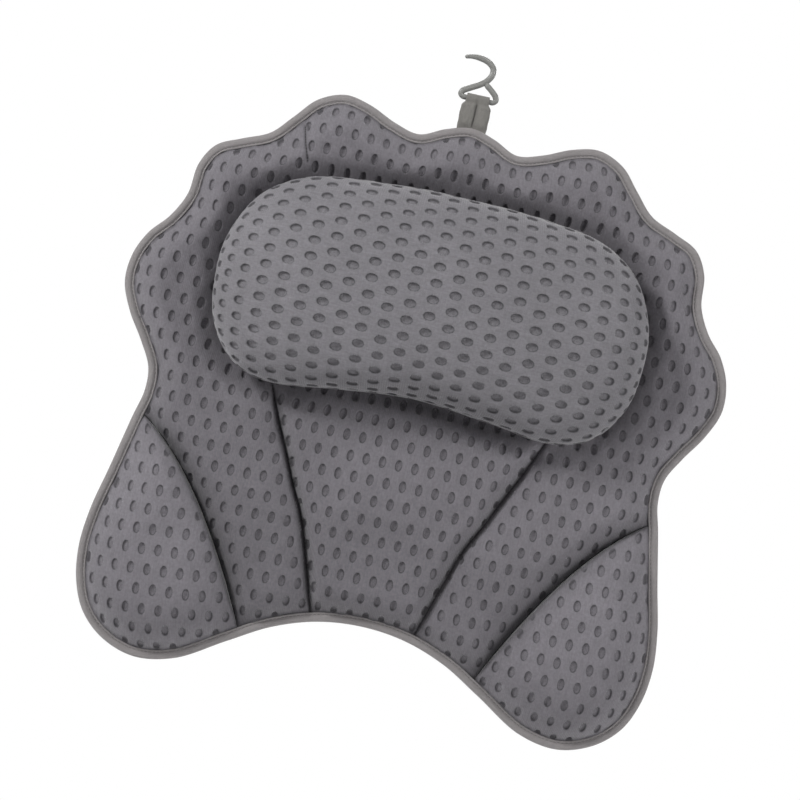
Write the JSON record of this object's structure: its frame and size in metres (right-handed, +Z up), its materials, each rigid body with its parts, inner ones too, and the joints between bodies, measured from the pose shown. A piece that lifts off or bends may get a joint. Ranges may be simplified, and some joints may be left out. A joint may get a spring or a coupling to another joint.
{
  "type": "bath pillow",
  "caption": "Quilted bath pillow mat with a scalloped edge, folding wings, a bean-shaped head cushion, suction cups and a hanging hook.",
  "frame": {"origin": "middle of the pattern of six suction cups, in the plane of the wall that their rims press on", "axes": "+Z up the pillow to its hook, +Y into the wall, so the padded front faces -Y, +X to the right as seen from the front"},
  "size_m": [0.4388, 0.0851, 0.474],
  "materials": {
    "mat_cloth": "matte",
    "cushion_cloth": "matte",
    "back_cloth": "matte",
    "wadding": "matte",
    "binding_tape": "matte",
    "thread": "matte",
    "loop_tape": "matte",
    "hook_plastic": "satin",
    "cup_vinyl": "gloss"
  },
  "bodies": {
    "mat": {"front_cover": "mat_cloth", "shell_wadding": "wadding", "centre_channel_wadding": "wadding", "right_channel_wadding": "wadding", "left_channel_wadding": "wadding", "back_cloth": "back_cloth", "scallop_binding": "binding_tape", "arch_binding": "binding_tape", "right_fold_thread": "thread", "left_fold_thread": "thread", "right_channel_thread": "thread", "left_channel_thread": "thread", "head_cushion_cover": "cushion_cloth", "head_cushion_wadding": "wadding", "head_cushion_base": "back_cloth", "cup_patch_upper_left": "binding_tape", "cup_patch_upper_right": "binding_tape", "cup_patch_middle_left": "binding_tape", "cup_patch_middle_right": "binding_tape", "cup_patch_lower_left": "binding_tape", "cup_patch_lower_right": "binding_tape"},
    "right_wing": {"right_wing_cover": "mat_cloth", "right_wing_wadding": "wadding", "right_wing_back_cloth": "back_cloth", "right_wing_binding": "binding_tape"},
    "left_wing": {"left_wing_cover": "mat_cloth", "left_wing_wadding": "wadding", "left_wing_back_cloth": "back_cloth", "left_wing_binding": "binding_tape"},
    "suction_cup_upper_left": {"suction_cup_upper_left": "cup_vinyl"},
    "suction_cup_upper_right": {"suction_cup_upper_right": "cup_vinyl"},
    "suction_cup_middle_left": {"suction_cup_middle_left": "cup_vinyl"},
    "suction_cup_middle_right": {"suction_cup_middle_right": "cup_vinyl"},
    "suction_cup_lower_left": {"suction_cup_lower_left": "cup_vinyl"},
    "suction_cup_lower_right": {"suction_cup_lower_right": "cup_vinyl"},
    "hanging_loop": {"hanging_loop": "loop_tape"},
    "hanging_hook": {"hanging_hook": "hook_plastic"}
  },
  "joints": [
    {"name": "left_wing_fold", "type": "hinge", "parent": "mat", "child": "left_wing", "pos_m": [-0.13461, -0.01665, -0.11388], "axis": [-0.5994, 0, 0.8004], "range_deg": [-30, 30], "stiffness_Nm_per_rad": 0.3},
    {"name": "right_wing_fold", "type": "hinge", "parent": "mat", "child": "right_wing", "pos_m": [0.13461, -0.01665, -0.11388], "axis": [-0.5994, 0, -0.8004], "range_deg": [-30, 30], "stiffness_Nm_per_rad": 0.3},
    {"name": "loop_fold", "type": "hinge", "parent": "mat", "child": "hanging_loop", "pos_m": [0, -0.01665, 0.20129], "axis": [1, 0, 0], "range_deg": [-70, 70], "stiffness_Nm_per_rad": 0.012},
    {"name": "hook_swing", "type": "hinge", "parent": "hanging_loop", "child": "hanging_hook", "pos_m": [0, -0.01665, 0.22069], "axis": [1, 0, 0], "range_deg": [-90, 90]},
    {"name": "suction_cup_upper_left_turn", "type": "hinge", "parent": "mat", "child": "suction_cup_upper_left", "pos_m": [-0.08804, 0, 0.12993], "axis": [0, 1, 0], "continuous": true},
    {"name": "suction_cup_upper_right_turn", "type": "hinge", "parent": "mat", "child": "suction_cup_upper_right", "pos_m": [0.08804, 0, 0.12993], "axis": [0, 1, 0], "continuous": true},
    {"name": "suction_cup_middle_left_turn", "type": "hinge", "parent": "mat", "child": "suction_cup_middle_left", "pos_m": [-0.15002, 0, -0.00213], "axis": [0, 1, 0], "continuous": true},
    {"name": "suction_cup_middle_right_turn", "type": "hinge", "parent": "mat", "child": "suction_cup_middle_right", "pos_m": [0.15002, 0, -0.00213], "axis": [0, 1, 0], "continuous": true},
    {"name": "suction_cup_lower_left_turn", "type": "hinge", "parent": "mat", "child": "suction_cup_lower_left", "pos_m": [-0.04205, 0, -0.1278], "axis": [0, 1, 0], "continuous": true},
    {"name": "suction_cup_lower_right_turn", "type": "hinge", "parent": "mat", "child": "suction_cup_lower_right", "pos_m": [0.04205, 0, -0.1278], "axis": [0, 1, 0], "continuous": true}
  ]
}
